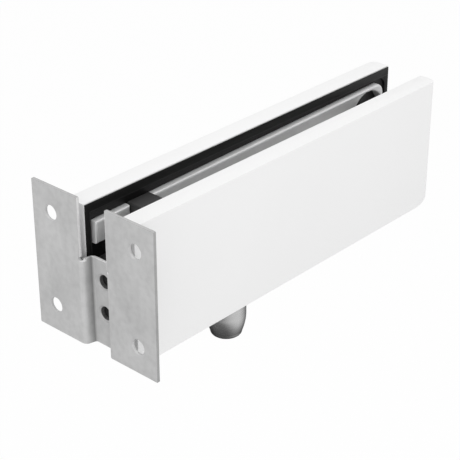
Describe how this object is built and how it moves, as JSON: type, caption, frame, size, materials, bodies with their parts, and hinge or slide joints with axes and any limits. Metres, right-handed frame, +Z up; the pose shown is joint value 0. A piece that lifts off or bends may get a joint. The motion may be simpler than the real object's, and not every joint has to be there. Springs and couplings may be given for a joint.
{
  "type": "glass patch fitting",
  "caption": "Over-panel glass patch fitting: two white covers over black carriers and metal clamp plates, a pivot pin below and a folded sheet anchor for the wall.",
  "frame": {"origin": "centre of the four wall screws, on the wall face of the anchor, in the middle plane of the glass slot", "axes": "+X away from the wall along the fitting, +Y from the front cover to the rear cover, +Z up; the pivot pin points down"},
  "size_m": [0.1669, 0.0564, 0.0771],
  "materials": {
    "white_cover": "smooth white powder coat",
    "black_carrier": "matt black moulding",
    "cast_plate": "satin, as cast, rounded edges",
    "black_block": "matt black",
    "pivot_steel": "satin machined steel",
    "pin_steel": "satin turned steel",
    "sheet_steel": "dull rolled stainless sheet",
    "black_screw": "black oxide",
    "zinc_screw": "zinc plated",
    "spring_steel": "spring steel strip"
  },
  "bodies": {
    "rear_half": {"rear_carrier": "black_carrier", "rear_clamp_plate": "cast_plate", "rear_plate_screws": "zinc_screw", "rear_cover_clips": "spring_steel", "spacer_block": "black_block", "end_block": "black_block", "pivot_block": "pivot_steel", "pivot_pin": "pin_steel", "pin_set_screw": "black_screw", "wall_anchor": "sheet_steel", "anchor_screws": "black_screw", "clamp_nuts": "zinc_screw", "block_screws": "zinc_screw"},
    "front_half": {"front_carrier": "black_carrier", "front_clamp_plate": "cast_plate", "front_plate_screws": "zinc_screw", "front_cover_clips": "spring_steel", "clamp_screws": "black_screw", "clamp_washers": "zinc_screw"},
    "rear_cover": {"rear_cover": "white_cover"},
    "front_cover": {"front_cover": "white_cover"}
  },
  "joints": [
    {"name": "front_half_slide", "type": "slide", "parent": "rear_half", "child": "front_half", "axis": [0, -1, 0], "range_m": [0, 0.002]},
    {"name": "front_cover_pull", "type": "slide", "parent": "front_half", "child": "front_cover", "axis": [0, -1, 0], "range_m": [0, 0.014]},
    {"name": "rear_cover_pull", "type": "slide", "parent": "rear_half", "child": "rear_cover", "axis": [0, 1, 0], "range_m": [0, 0.014]}
  ]
}
